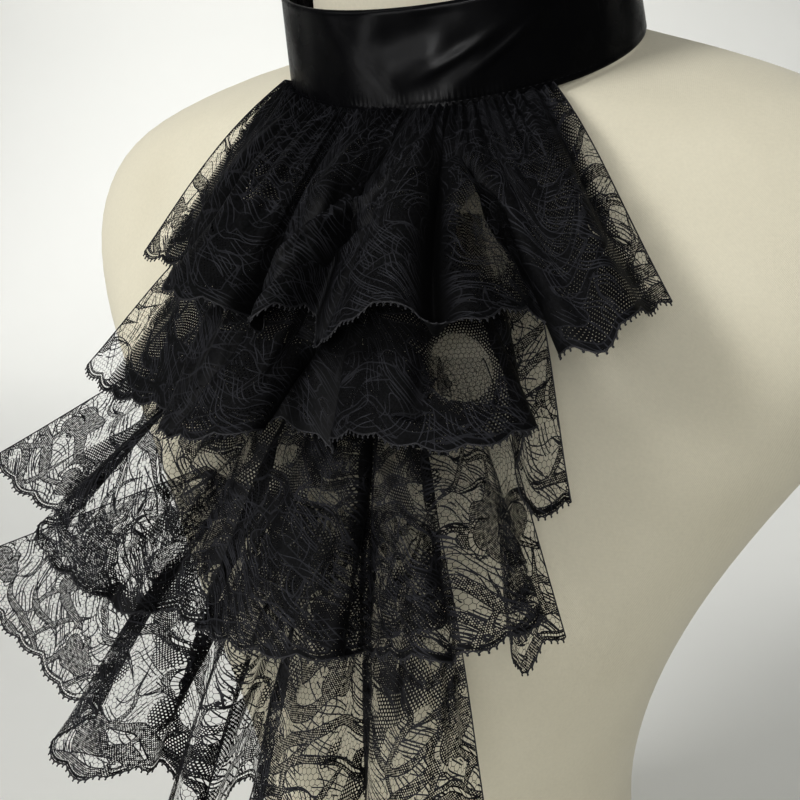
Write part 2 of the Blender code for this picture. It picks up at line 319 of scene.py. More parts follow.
def seam_point(seam, seam_height):
    """Where the folds start: on the band's lower edge, or on a seam across the panel."""
    if seam_height is None:
        angle = np.radians(seam)
        return ring_point(BAND_SEAM_RADIUS, angle, 1.0 - band_drop(angle))
    lift = PANEL_WALL / 2 + SEAM_GAP + LACE_WALL / 2
    return panel_point(seam, seam_height) + np.array([0.0, -lift, 0.0])


def smooth_rows(rows, steps):
    """Points along a smooth curve through the rows, every column alike, in steps from each row."""
    rows = np.asarray(rows, float)
    knots = np.vstack([2 * rows[0] - rows[1], rows, 2 * rows[-1] - rows[-2]])
    fine = []
    for index in range(len(rows) - 1):
        p0, p1, p2, p3 = knots[index:index + 4]
        for t in np.arange(steps) / steps:
            fine.append(0.5 * (2 * p1 + (p2 - p0) * t + (2 * p0 - 5 * p1 + 4 * p2 - p3) * t**2
                               + (3 * p1 - p0 - 3 * p2 + p3) * t**3))
    fine.append(rows[-1])
    return np.array(fine)


def lengths_along(points):
    """The distance of each point from the first, along the line through them."""
    steps = np.linalg.norm(np.diff(points, axis=0), axis=1)
    return np.concatenate([[0.0], np.cumsum(steps)])


def unit(vectors):
    """The same directions, each one long."""
    return vectors / np.maximum(np.linalg.norm(vectors, axis=-1, keepdims=True), 1e-9)


def surface_normals(grid):
    """The outward direction at each point of a grid that runs down and to the wearer's left."""
    down = np.gradient(grid, axis=0)
    across = np.gradient(grid, axis=1)
    return unit(np.cross(down, across))


def grid_faces(rows, columns):
    """Faces between the points of a grid, facing outwards."""
    corner = np.arange(rows * columns).reshape(rows, columns)
    a, b = corner[:-1, :-1], corner[:-1, 1:]
    c, d = corner[1:, 1:], corner[1:, :-1]
    return np.stack([a, d, c, b], axis=-1).reshape(-1, 4).tolist()


def make_piece(name, points, faces, material):
    """One mesh piece; points are in millimetres from the middle of the band's lower edge."""
    world = (np.asarray(points, float).reshape(-1, 3) + (0.0, 0.0, NECK_HEIGHT)) * MM
    mesh = bpy.data.meshes.new(name)
    mesh.from_pydata(world.tolist(), [], faces)
    mesh.shade_smooth()
    mesh.materials.append(material)
    piece = bpy.data.objects.new(name, mesh)
    bpy.context.scene.collection.objects.link(piece)
    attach(piece, "root")
    return piece


def add_uv(piece, name, values):
    """A UV map with one pair of values for each point of the mesh."""
    mesh = piece.data
    corners = np.empty(len(mesh.loops), np.int32)
    mesh.loops.foreach_get("vertex_index", corners)
    layer = mesh.uv_layers.new(name=name)
    layer.data.foreach_set("uv", np.asarray(values, np.float32).reshape(-1, 2)[corners].ravel())


def add_field(piece, name, *values):
    """A vector attribute that holds three values for each point of the mesh."""
    packed = np.stack([np.asarray(value, np.float32).ravel() for value in values], axis=-1)
    field = piece.data.attributes.new(name, "FLOAT_VECTOR", "POINT")
    field.data.foreach_set("vector", packed.ravel())


def tube(path, normals, radius, sides):
    """Points and faces of an open thread round a path; the normals set how its sides lie."""
    tangents = unit(np.gradient(path, axis=0))
    side = unit(np.cross(tangents, normals))
    normal = np.cross(side, tangents)
    turns = np.arange(sides) * 2 * pi / sides
    ring = (np.cos(turns)[None, :, None] * normal[:, None, :]
            + np.sin(turns)[None, :, None] * side[:, None, :])
    points = path[:, None, :] + radius * ring
    index = np.arange(len(path) * sides).reshape(len(path), sides)
    a, b = index[:-1], np.roll(index[:-1], -1, axis=1)
    c, d = np.roll(index[1:], -1, axis=1), index[1:]
    faces = np.stack([a, d, c, b], axis=-1).reshape(-1, 4).tolist()
    faces.append(index[0].tolist())
    faces.append(index[-1][::-1].tolist())
    return points.reshape(-1, 3), faces


def join_shapes(shapes):
    """One list of points and one of faces from several shapes."""
    points, faces, count = [], [], 0
    for shape_points, shape_faces in shapes:
        points.append(shape_points)
        faces.extend([[corner + count for corner in face] for face in shape_faces])
        count += len(shape_points)
    return np.vstack(points), faces


# ---- materials ----

# The blacks of the lace: a painted shade deep between its threads, the worked cloth, a painted
# highlight on raised cords that catch the light, and a painted shade for the troughs between
# folds. Then the dark side of a twisted thread.
LACE_PAINTED_DEEP_SHADE = (0.0004, 0.0004, 0.0006, 1.0)
LACE_BODY = (0.0017, 0.0018, 0.0023, 1.0)
LACE_PAINTED_CORD_HIGHLIGHT = (0.0200, 0.0203, 0.0240, 1.0)
LACE_PAINTED_TROUGH_SHADE = (0.0008, 0.0008, 0.0010, 1.0)
THREAD_DARK = (0.003, 0.003, 0.004, 1.0)

# The lace's work. Where its filling is below OPEN_BELOW the ground is open net, whose threads
# take NET_THREAD of a cell to each side. Elsewhere it is FINE_NET times as fine, and the ribbed
# cloth of the figures RIB_NET times. Half the width of a figure's outline is in millimetres,
# and that of a bar in steps from bar to bar.
OPEN_BELOW = 0.30
NET_THREAD = 0.042
FINE_NET = 1.7
RIB_NET = 2.7
OUTLINE_HALF = 0.20
BAR_HALF = 0.13


class Nodes:
    """Adds nodes to a material and links them."""

    def __init__(self, name):
        self.material = bpy.data.materials.new(name)
        self.material.use_nodes = True
        self.tree = self.material.node_tree
        self.shader = self.tree.nodes["Principled BSDF"]

    def put(self, socket, value):
        """Links a socket to another, or gives it a plain value."""
        if isinstance(value, bpy.types.NodeSocket):
            self.tree.links.new(value, socket)
        else:
            socket.default_value = value

    def add(self, kind, inputs=(), **settings):
        """A new node with its settings and inputs."""
        node = self.tree.nodes.new(kind)
        for key, value in settings.items():
            setattr(node, key, value)
        for key, value in dict(inputs).items():
            self.put(node.inputs[key], value)
        return node

    def maths(self, operation, *values):
        return self.add("ShaderNodeMath", enumerate(values), operation=operation).outputs[0]

    def vector(self, operation, *values):
        node = self.add("ShaderNodeVectorMath", enumerate(values), operation=operation)
        return node.outputs["Value" if operation in ("DOT_PRODUCT", "LENGTH") else "Vector"]

    def parts(self, vector):
        node = self.add("ShaderNodeSeparateXYZ", {0: vector})
        return node.outputs[0], node.outputs[1], node.outputs[2]

    def field(self, name):
        """The three values of a piece's vector attribute."""
        node = self.add("ShaderNodeAttribute", attribute_name=name)
        return self.parts(node.outputs["Vector"])

    def mix(self, share, first, second):
        """first where share is 0, second where it is 1."""
        node = self.add("ShaderNodeMix", {0: share, 2: first, 3: second}, data_type="FLOAT")
        return node.outputs[0]

    def mix_colour(self, share, first, second):
        node = self.add("ShaderNodeMix", {0: share, 6: first, 7: second}, data_type="RGBA")
        return node.outputs[2]

    def either(self, *masks):
        """The greatest of the masks."""
        result = masks[0]
        for mask in masks[1:]:
            result = self.maths("MAXIMUM", result, mask)
        return result

    def scaled(self, place, scale):
        return self.add("ShaderNodeVectorMath", {0: place, "Scale": scale},
                        operation="SCALE").outputs[0]

    def noise(self, place, scale, detail=2.0):
        node = self.add("ShaderNodeTexNoise", {"Vector": place, "Scale": scale, "Detail": detail})
        return node.outputs[0]

    def lines(self, coordinate, half_width):
        """1 on lines at every whole value of the coordinate, with this half width."""
        return self.maths("LESS_THAN", self.maths("PINGPONG", coordinate, 0.5), half_width)

    def honeycomb(self, place):
        """Distance to the nearest side of a honeycomb cell, in cells."""
        size = (1.0, sqrt(3.0), 1.0)
        half = (0.5, sqrt(3.0) / 2, 0.0)
        first = self.vector("SUBTRACT", self.vector("MODULO", place, size), half)
        shifted = self.vector("SUBTRACT", place, half)
        second = self.vector("SUBTRACT", self.vector("MODULO", shifted, size), half)
        nearer = self.maths("LESS_THAN", self.vector("LENGTH", second),
                            self.vector("LENGTH", first))
        chosen = self.add("ShaderNodeMix", {0: nearer, 4: first, 5: second},
                          data_type="VECTOR").outputs[1]
        folded = self.vector("ABSOLUTE", chosen)
        slant = self.vector("DOT_PRODUCT", folded, half)
        upright = self.parts(folded)[0]
        return self.maths("SUBTRACT", 0.5, self.maths("MAXIMUM", slant, upright))


def set_surface(nodes, colour, roughness, specular, sheen=0.0):
    """Links the colour, and sets the surface's plain values on the shader itself."""
    nodes.put(nodes.shader.inputs["Base Color"], colour)
    nodes.put(nodes.shader.inputs["Roughness"], roughness)
    nodes.shader.inputs["Specular IOR Level"].default_value = specular
    nodes.shader.inputs["Sheen Weight"].default_value = sheen
    nodes.shader.inputs["Sheen Roughness"].default_value = 0.4


def lace_finish():
    """Openwork lace: corded figures of ribbed cloth, flowing cords and a honeycomb ground."""
    nodes = Nodes("black_lace")
    figure, ladder, bar = nodes.field("figure")
    flow, flow_width, sunk = nodes.field("cords")
    strand, strand_width, filling = nodes.field("ground")
    net = nodes.add("ShaderNodeUVMap", uv_map="net").outputs[0]
    cloth_map = nodes.add("ShaderNodeUVMap", uv_map="cloth").outputs[0]

    # Open net where the ground is left empty, and a finer one with thicker threads elsewhere.
    worked = nodes.maths("GREATER_THAN", filling, OPEN_BELOW)
    fineness = nodes.mix(worked, 1.0, FINE_NET)
    cell = nodes.honeycomb(nodes.scaled(net, fineness))
    thread = nodes.mix(worked, NET_THREAD, nodes.maths("MULTIPLY_ADD", filling, 0.50, 0.03))
    ground = nodes.maths("LESS_THAN", cell, thread)

    # The cords start and stop in patches.
    patch = nodes.add("ShaderNodeTexNoise", {"Vector": cloth_map, "Scale": 0.13, "Detail": 2.0})
    here, there, _ = nodes.parts(patch.outputs["Color"])
    cords = nodes.maths("MULTIPLY", nodes.lines(flow, flow_width),
                        nodes.maths("GREATER_THAN", here, 0.43))
    strands = nodes.maths("MULTIPLY", nodes.lines(strand, strand_width),
                          nodes.maths("GREATER_THAN", there, 0.44))

    # Each figure has a corded outline. Inside it the cloth is ribbed, with bars across its
    # openwork, and the openwork closes up where the lace is filled.
    outline = nodes.maths("LESS_THAN", nodes.maths("ABSOLUTE", figure), OUTLINE_HALF)
    in_figure = nodes.maths("GREATER_THAN", figure, 0.0)
    closed_up = nodes.maths("MAXIMUM", nodes.maths("MULTIPLY_ADD", filling, 3.4, -1.40), 0.0)
    in_ladder = nodes.maths("GREATER_THAN", ladder, closed_up)
    ladder_edge = nodes.maths("LESS_THAN", nodes.maths("ABSOLUTE", ladder), OUTLINE_HALF)
    fine = nodes.honeycomb(nodes.scaled(net, RIB_NET))
    speckle = nodes.noise(cloth_map, 0.9)
    closeness = nodes.maths("MAXIMUM", nodes.maths("MULTIPLY_ADD", filling, 0.62, -0.31), -0.19)
    ribs = nodes.maths("LESS_THAN", fine, nodes.maths("MULTIPLY_ADD", speckle, 0.9, closeness))
    bars = nodes.lines(bar, BAR_HALF)
    inside = nodes.mix(in_ladder, nodes.either(ribs, ladder_edge), nodes.either(bars, ladder_edge))
    outside = nodes.either(ground, cords, strands)
    cloth = nodes.either(nodes.mix(in_figure, outside, inside), outline)

    # Painted highlight: some bunches of cords stand higher than others and catch more light, so
    # they
    #     # and the figures' outlines are given a lighter colour.
    near, far = (nodes.maths("MULTIPLY_ADD", tone, 3.0, -0.85) for tone in (here, there))
    painted_cord_highlight = nodes.either(nodes.maths("MULTIPLY", outline, 0.5),
                          nodes.maths("MULTIPLY", cords, near),
                          nodes.maths("MULTIPLY", strands, far))
    # The worked cloth is uneven: random specks of it are darkened to a painted shade, as if deep
    #     # between its threads, and elsewhere its threads show their own colour and catch the
    #     light.
    painted_specks = nodes.maths("MULTIPLY", nodes.maths("SUBTRACT", speckle, 0.46), 9.0)
    painted_specks = nodes.maths("MINIMUM", nodes.maths("MAXIMUM", painted_specks, 0.0), 1.0)
    body = nodes.mix_colour(painted_specks, LACE_PAINTED_DEEP_SHADE, LACE_BODY)
    colour = nodes.mix_colour(painted_cord_highlight, body, LACE_PAINTED_CORD_HIGHLIGHT)
    # Painted shade: the colour is darkened in the troughs between the folds, where little light
    # gets down.
    painted_trough_shade = nodes.maths("MINIMUM", nodes.maths("MULTIPLY", sunk, 0.16), 0.9)
    colour = nodes.mix_colour(painted_trough_shade, colour, LACE_PAINTED_TROUGH_SHADE)
    set_surface(nodes, colour, roughness=0.65, specular=0.03)
    nodes.put(nodes.shader.inputs["Alpha"], cloth)
    return nodes.material


def thread_finish():
    """The twisted thread of the picots, the corded edges and the stitches."""
    nodes = Nodes("black_thread")
    place = nodes.add("ShaderNodeTexCoord").outputs["Object"]
    grain = nodes.noise(place, 1800.0)
    colour = nodes.mix_colour(grain, THREAD_DARK, (0.014, 0.014, 0.017, 1.0))
    set_surface(nodes, colour, roughness=0.6, specular=0.1)
    return nodes.material


def net_finish():
    """Plain fine net."""
    nodes = Nodes("black_net")
    cell = nodes.honeycomb(nodes.add("ShaderNodeUVMap", uv_map="net").outputs[0])
    place = nodes.add("ShaderNodeTexCoord").outputs["Object"]
    grain = nodes.noise(place, 400.0)
    colour = nodes.mix_colour(grain, THREAD_DARK, (0.009, 0.009, 0.010, 1.0))
    set_surface(nodes, colour, roughness=0.6, specular=0.2)
    thread = nodes.maths("MULTIPLY_ADD", grain, 0.02, 0.02)
    nodes.put(nodes.shader.inputs["Alpha"], nodes.maths("LESS_THAN", cell, thread))
    return nodes.material


def satin_finish():
    """Black satin: a smooth broken gloss over a very fine slanted weave."""
    nodes = Nodes("black_satin")
    cloth = nodes.add("ShaderNodeUVMap", uv_map="cloth").outputs[0]
    soft = nodes.noise(cloth, 0.09, 3.0)
    weave = nodes.add("ShaderNodeTexWave", {"Vector": cloth, "Scale": 1.6, "Distortion": 0.6},
                      bands_direction="DIAGONAL").outputs["Fac"]
    colour = nodes.mix_colour(weave, (0.0012, 0.0012, 0.0015, 1.0), (0.0024, 0.0024, 0.0029, 1.0))
    roughness = nodes.maths("MULTIPLY_ADD", soft, 0.16, 0.19)
    set_surface(nodes, colour, roughness, specular=0.02)
    swell = nodes.noise(cloth, 0.07, 0.0)
    height = nodes.maths("MULTIPLY_ADD", weave, 0.01, swell)
    bump = nodes.add("ShaderNodeBump", {"Strength": 0.5, "Distance": 0.004, "Height": height})
    nodes.put(nodes.shader.inputs["Normal"], bump.outputs[0])
    return nodes.material


def canvas_finish():
    """The form's beige canvas: a plain weave, a little uneven in colour."""
    nodes = Nodes("form_canvas_weave")
    place = nodes.add("ShaderNodeTexCoord").outputs["Object"]
    across, through, upward = nodes.parts(place)
    round_it = nodes.maths("ADD", across, through)
    warp = nodes.maths("SINE", nodes.maths("MULTIPLY", round_it, 7000.0))
    weft = nodes.maths("SINE", nodes.maths("MULTIPLY", upward, 7400.0))
    weave = nodes.maths("MULTIPLY", warp, weft)
    soft = nodes.noise(place, 22.0, 4.0)
    slub = nodes.noise(place, 900.0)
    base = nodes.mix_colour(soft, (0.60, 0.555, 0.425, 1.0), (0.69, 0.645, 0.51, 1.0))
    shade = nodes.mix_colour(slub, (0.93, 0.93, 0.93, 1.0), (1.05, 1.05, 1.05, 1.0))
    colour = nodes.add("ShaderNodeMix", {0: 1.0, 6: base, 7: shade}, data_type="RGBA",
                       blend_type="MULTIPLY").outputs[2]
    set_surface(nodes, colour, roughness=0.85, specular=0.15, sheen=0.15)
    height = nodes.maths("ADD", nodes.maths("MULTIPLY", weave, 0.5), slub)
    bump = nodes.add("ShaderNodeBump", {"Strength": 0.25, "Distance": 0.0002, "Height": height})
    nodes.put(nodes.shader.inputs["Normal"], bump.outputs[0])
    return nodes.material


def floor_finish():
    """Pale paper, almost even."""
    nodes = Nodes("pale_paper")
    soft = nodes.noise(nodes.add("ShaderNodeTexCoord").outputs["Object"], 3.0)
    colour = nodes.mix_colour(soft, (0.80, 0.80, 0.77, 1.0), (0.82, 0.82, 0.79, 1.0))
    set_surface(nodes, colour, roughness=0.9, specular=0.1)
    return nodes.material


# ---- the lace ----


# Half the width of the two kinds of cord. Then the distances between the bars across the
# openwork of the rounds, the ribbons and the hem's border, and the width of that border.
FLOW_HALF = 0.15
STRAND_HALF = 0.13
ROUND_BARS = 1.4
RIBBON_BARS = 1.45
BORDER_BARS = 1.1
BORDER_WIDTH = 2.3


def wrapped(distance):
    """The distance to the nearest repeat of a figure."""
    return (distance + REPEAT / 2) % REPEAT - REPEAT / 2


def round_fields(along, up, row):
    """Figure, ladder and bar values of a disc in a ring of eyelets, on a patch of cloth.

    figure: how far inside the cloth's edge a point lies, in millimetres; ladder: how far inside
    the openwork; bar: rises by 1 from each bar across the openwork to the next.
    """
    centre, height, disc, ladder, cloth, turn, aside = row
    off_along, off_up = wrapped(along - centre), up - height
    reach = np.hypot(off_along, off_up)
    angle = np.arctan2(off_up, off_along) + turn
    outer = np.hypot(0.8 * (off_along - aside * cos(turn)), off_up + aside * sin(turn))
    rim = cloth * (0.72 + 0.16 * np.cos(2 * angle + 1.0) + 0.12 * np.cos(5 * angle))
    bars = round(2 * pi * (disc + ladder) / 2 / ROUND_BARS)
    closed = np.cos(angle * 0.5 + turn) ** 2
    return (rim - outer,
            np.minimum(reach - disc, ladder - reach) - 1.2 * closed, angle * bars / (2 * pi))


def ribbon(along, up, shift):
    """Wide ribbons of cloth that run along the strip, part and meet; one at every whole value."""
    sway = (6.5 * np.sin(along / 15.0 + 1.1 * np.sin(up / 11.0) + shift)
            + 3.2 * np.sin(along / 7.3 - up / 10.0 + 2.0 * shift)
            + 0.8 * np.sin(along / 3.4 + up / 5.0))
    return (up + sway + 0.22 * along) / 12.0


def vine(along, up, shift):
    """Narrower ribbons that climb across the others."""
    sway = (6.0 * np.sin(up / 13.0 + 0.8 * np.sin(along / 17.0) + shift)
            + 2.6 * np.sin(up / 5.2 + along / 11.0)
            + 1.2 * np.sin(up / 2.7 - along / 6.0))
    return (along + sway - 0.55 * up) / 19.0


def slope(field, along, up, shift):
    """How fast the field changes, per millimetre."""
    step = 0.2
    across = (field(along + step, up, shift) - field(along - step, up, shift)) / (2 * step)
    upward = (field(along, up + step, shift) - field(along, up - step, shift)) / (2 * step)
    return np.hypot(across, upward)


def ribbon_fields(field, along, up, shift, half_width, ladder_half):
    """Figure, ladder and bar values of ribbons that follow the field."""
    value = field(along, up, shift)
    off = ((value + 0.5) % 1.0 - 0.5) / slope(field, along, up, shift)
    ladder = ladder_half - np.abs(off - 0.3 * half_width)
    return half_width - np.abs(off), ladder, (along + 0.7 * up) / RIBBON_BARS


def figure_fields(along, up, edge, shift, richness):
    """All figures together: at each point the values of the one that reaches furthest over it."""
    wide = (0.3 + 2.6 * richness
            + 1.5 * np.sin(along / 13.0 + up / 21.0 + shift) * np.sin(up / 12.0 - along / 31.0))
    laddered = 1.1 * np.sin(along / 15.0 - up / 10.0 + shift) - 0.35
    narrow = 0.25 + 0.7 * richness + 0.6 * np.sin(up / 9.0 + along / 14.0 + shift)
    border = (BORDER_WIDTH - edge, 0.55 - np.abs(edge - 1.25), along / BORDER_BARS)
    shapes = ([round_fields(along + shift, up, row) for row in ROUNDS]
              + [ribbon_fields(ribbon, along, up, shift, wide, np.minimum(laddered, 0.6)),
                 ribbon_fields(vine, along, up, shift, narrow, -9.0),
                 border])
    best = list(shapes[0])
    for shape in shapes[1:]:
        over = shape[0] > best[0]
        best = [np.where(over, new, old) for new, old in zip(shape, best)]
    return best


def bunched(lines, every, pull):
    """Draws evenly numbered lines together into bunches."""
    return lines + pull * np.sin(2 * pi * lines / every)


def flow(along, up, shift):
    """Cords that run down the lace in long waves; one at every whole value."""
    wave = 12.0 * np.sin(up / 19.0 + 0.9 * np.sin(along / 27.0) + shift)
    ripple = 4.5 * np.sin(up / 8.5 + along / 15.0 + shift) + 1.5 * np.sin(up / 3.9 - along / 9.0)
    return bunched((0.8 * along + wave + ripple + shift + 0.5 * up) / 2.7, 3.0, 0.36)


def strand(along, up, shift):
    """Cords that cross the first ones at a low angle and sweep over."""
    arch = 10.0 * np.sin(up / 22.0 + along / 37.0 + shift) + 5.0 * np.sin(along / 9.5 + up / 13.0)
    ripple = 1.2 * np.sin(along / 3.3 + up / 4.1)
    return bunched((0.75 * up + 0.5 * along + arch + ripple) / 2.5, 4.0, 0.5)


def line_width(field, along, up, shift, half_width):
    """The half width of a cord, from millimetres to steps of its field."""
    return half_width * slope(field, along, up, shift)


def tier_columns(folds, seam_height):
    """Seam and hem points of a tier at even distances along its hem, and those distances."""
    fine = smooth_rows(folds, 40)
    hem = np.column_stack([fine[:, 1], -fine[:, 2], fine[:, 3]])
    distance = lengths_along(hem)
    columns = int(distance[-1] / LACE_STEP) + 1
    along = np.linspace(0.0, distance[-1], columns)
    bottom = np.column_stack([np.interp(along, distance, hem[:, k]) for k in range(3)])
    top = seam_point(np.interp(along, distance, fine[:, 0]), seam_height)
    return along, top, bottom


def gathers(from_seam, drop, seam_run, depth, reach):
    """How far the cloth stands out: close ripples at the seam, and softer creases below."""
    close = 2 * pi * (seam_run / GATHER_SPACING + 0.5 * np.sin(seam_run / 7.3)
                      + 0.3 * np.sin(seam_run / 2.9 + 1.0))
    near = np.minimum(from_seam / 2.5, 1.0) * np.exp(-from_seam / reach)
    ripples = depth * near * (0.5 + 0.5 * np.sin(close + 0.05 * from_seam))
    share = np.clip(from_seam / drop / 0.9, 0.0, 1.0)
    wide = 2 * pi * (seam_run / SOFT_SPACING + 0.35 * np.sin(seam_run / 13.0 + 2.0))
    creases = SOFT_DEPTH * np.sin(pi * share) ** 1.2 * (0.5 + 0.5 * np.sin(wide + 0.02 * from_seam))
    return ripples + creases


def creased(number, grid, along, share):
    """The grid with this tier's main creases drawn into it, and how deep in a trough it lies."""
    moved = grid.copy()
    sunk = np.zeros(share.shape)
    # The creases stand out from the broad form, averaged over this many points to each side.
    reach = 40
    padded = np.pad(grid, ((0, 0), (reach, reach), (0, 0)), mode="edge")
    totals = np.cumsum(np.pad(padded, ((0, 0), (1, 0), (0, 0))), axis=1)
    broad = (totals[:, 2 * reach + 1:] - totals[:, :-2 * reach - 1]) / (2 * reach + 1)
    normals = surface_normals(broad)
    tangents = unit(np.gradient(broad, axis=1))
    run = np.vstack([lengths_along(row) for row in grid])
    for tier, top_along, top_share, end_along, end_share, *shape in CREASES:
        if tier != number:
            continue
        bow, half_width, depth, lap = shape
        part = (share - top_share) / (end_share - top_share)
        path = top_along + (end_along - top_along) * part + bow * np.sin(pi * np.clip(part, 0, 1))
        grown = np.clip(part / 0.45, 0.0, 1.0)
        fade = grown**2 * (3 - 2 * grown) * np.clip((1.0 - part) / 0.04 + 0.6, 0.0, 1.0)
        centre = np.array([np.interp(path[row].mean(), along, run[row])
                           for row in range(len(run))])
        off = (run - centre[:, None]) / (half_width * (0.55 + 0.45 * np.clip(part, 0, 1)))
        within = fade * np.exp(-np.abs(off) ** 1.7)
        moved += normals * (depth * within)[..., None]
        sunk += np.maximum(-depth, 0.0) * within
        beside = np.exp(-(off + np.sign(lap)) ** 2) - 0.4 * np.exp(-(off - np.sign(lap)) ** 2)
        moved += tangents * (lap * fade * beside)[..., None]
        if lap:
            rise = 0.25 * abs(depth) * fade * np.exp(-(off + 1.3 * np.sign(lap)) ** 2)
            moved += normals * rise[..., None]
    return moved, sunk


def ground_filling(number, filling, shift, strip, up, from_seam, sunk):
    """How closely the ground is worked: in clouds, closer at the seam, and closer in troughs, where
    the denser black ground is a painted shade.
    """
    sheer, lowest = number > 2, number == 4
    clouds = np.sin(strip / 21.0 + shift) * np.sin(up / 17.0 + 0.5 * shift)
    patches = (np.sin(strip / 6.6 + 0.9 * np.sin(up / 9.0))
               * np.sin(up / 5.4 + 1.1 * np.sin(strip / 11.0)))
    at_seam = np.exp(-((from_seam / 34.0) ** 2))
    return (filling + (0.22 if sheer else 0.10) * clouds + (0.24 if sheer else 0.0) * patches
            + (0.02 if lowest else 0.40) * at_seam + 0.05 * sunk)


def openings(number, strip, up, length, drop):
    """How much of the filling the tier's openings take away, and of its figures and cords."""
    opened = np.zeros(strip.shape)
    clear = np.zeros(strip.shape)
    for tier, middle, height, reach_along, reach_up, cleared in OPENINGS:
        if tier == number:
            near = (((strip - middle * length) / reach_along) ** 2
                    + ((up - height * drop) / reach_up) ** 2)
            opened += 0.65 * np.exp(-near**1.5)
            clear += cleared * np.exp(-near**3)
    return opened, clear


def net_map(strip, up):
    """The ground's cells, a little drawn out of line."""
    along = strip + 0.35 * np.sin(strip / 5.1 + up / 7.0) + 0.25 * np.sin(up / 3.1)
    upward = up + 0.35 * np.sin(up / 4.7 - strip / 8.0) + 0.2 * np.sin(strip / 2.9)
    return np.stack([along, upward], axis=-1) / LACE_CELL + NET_START


def add_tier(number, tier, lace, thread):
    """A gathered tier: its sheet of lace, the fields of its design, and its trimmed edges."""
    name, folds, seam_height, roundness, filling, shift, gather, gather_reach = tier
    along, top, bottom = tier_columns(folds, seam_height)
    drop = np.linalg.norm(bottom - top, axis=1)
    scallop = SCALLOP_DEPTH * (np.abs(np.sin(pi * along / SCALLOP_WIDTH)) - 0.65)
    rows = int(drop.mean() / LACE_STEP) + 1
    level = np.linspace(0.0, 1.0, rows)[:, None]
    share = level * (1 + scallop / drop)[None, :]
    outward = (1 - roundness) * share + roundness * np.sin(share * pi / 2)
    downward = (1 - roundness) * share + roundness * (1 - np.cos(share * pi / 2))
    mix = np.stack([share, outward, downward], axis=-1)
    grid = top[None] + (bottom - top)[None] * mix
    from_seam = share * drop[None, :]
    seam_run = lengths_along(top)[None, :]
    grid, sunk = creased(number, grid, along, share)
    stand = gathers(from_seam, drop[None, :], seam_run, gather, gather_reach)
    grid = grid + surface_normals(grid) * stand[..., None]
    normals = surface_normals(grid)
    piece = make_piece(name + "_lace", grid, grid_faces(*grid.shape[:2]), lace)

    strip = np.broadcast_to(along[None, :], share.shape)
    up = drop[None, :] - from_seam
    edge = (1 - level) * (drop + scallop)[None, :]
    opened, clear = openings(number, strip, up, along[-1], drop[None, :])
    dense = ground_filling(number, filling, shift, strip, up, from_seam, sunk) - opened
    dense = np.clip(dense, 0.0, 1.0)
    richness = 0.40 + 0.26 * filling + 0.30 * (dense - filling)
    figure, ladder, bar = figure_fields(strip, up, edge, shift, richness)
    figure = figure - 8.0 * clear * (edge > 3.0)
    # The cords are bolder where the ground is open.
    bold = (1.0 - clear) * (1.0 + 0.7 * np.clip(1.0 - 2.4 * dense, 0.0, 1.0))
    add_uv(piece, "cloth", np.stack([strip, up + 20.0], axis=-1))
    add_uv(piece, "net", net_map(strip, up))
    add_field(piece, "figure", figure, ladder, bar)
    # The third value of cords, sunk, is the trough depth that the lace's painted shade reads.
    add_field(piece, "cords", flow(strip, up, shift),
              line_width(flow, strip, up, shift, FLOW_HALF) * bold, sunk)
    add_field(piece, "ground", strand(strip, up, shift),
              line_width(strand, strip, up, shift, STRAND_HALF) * bold, dense)

    trim = edge_trim(name, along, grid, normals, thread)
    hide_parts(name)


def edge_trim(name, along, grid, normals, thread):
    """The corded hem and side edges of a tier, and the looped picots along its hem."""
    hem, hem_normals = grid[-1], normals[-1]
    downward = unit(grid[-1] - grid[-3])
    count = int(round(along[-1] / PICOT_WIDTH))
    points_each = 9
    turn = np.linspace(0.0, 1.0, count * points_each + 1)
    loop = turn * count * 2 * pi
    run = turn * along[-1] + 0.62 * np.sin(loop)
    reach = PICOT_REACH * (0.5 - 0.5 * np.cos(loop)) ** 0.8
    run = np.clip(run, 0.0, along[-1])

    def at(values):
        return np.column_stack([np.interp(run, along, values[:, k]) for k in range(3)])

    picots = at(hem) + unit(at(downward)) * reach[:, None]
    shapes = [tube(picots, unit(at(hem_normals)), PICOT_RADIUS, 4),
              tube(hem, hem_normals, CORD_RADIUS, 5),
              tube(grid[:, 0], normals[:, 0], CORD_RADIUS, 5),
              tube(grid[:, -1], normals[:, -1], CORD_RADIUS, 5)]
    return make_piece(name + "_picots", *join_shapes(shapes), thread)


def add_panel(net):
    """The plain net panel, from inside the band down to the lowest tier's seam."""
    across = np.linspace(-1.0, 1.0, 60)
    sections = np.array(PANEL_SECTIONS)
    below = []
    for height in np.linspace(sections[0, 0], sections[-1, 0], 60):
        half_width = np.interp(height, sections[::-1, 0], sections[::-1, 1])
        below.append(panel_point(across * half_width, height))
    first = ring_point(PANEL_RADIUS, across * PANEL_ARC, -BAND_SEAM_DROP)
    blend = [first + (below[0] - first) * share for share in np.linspace(0, 1, 14)[1:-1]]
    grid = np.array([first, *blend, *below])
    piece = make_piece("net_panel_net", grid, grid_faces(*grid.shape[:2]), net)
    run = lengths_along(grid[:, len(across) // 2])
    width = np.linalg.norm(grid[:, -1] - grid[:, 0], axis=1)
    flat_across = across[None, :] * width[:, None] / 2
    flat_down = np.broadcast_to(run[:, None], flat_across.shape)
    from_edge = NET_START + 50.0
    add_uv(piece, "net", np.stack([flat_across / PANEL_CELL + from_edge,
                                   flat_down / PANEL_CELL + NET_START], axis=-1))
    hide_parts("net_panel")


# ---- the neckband ----

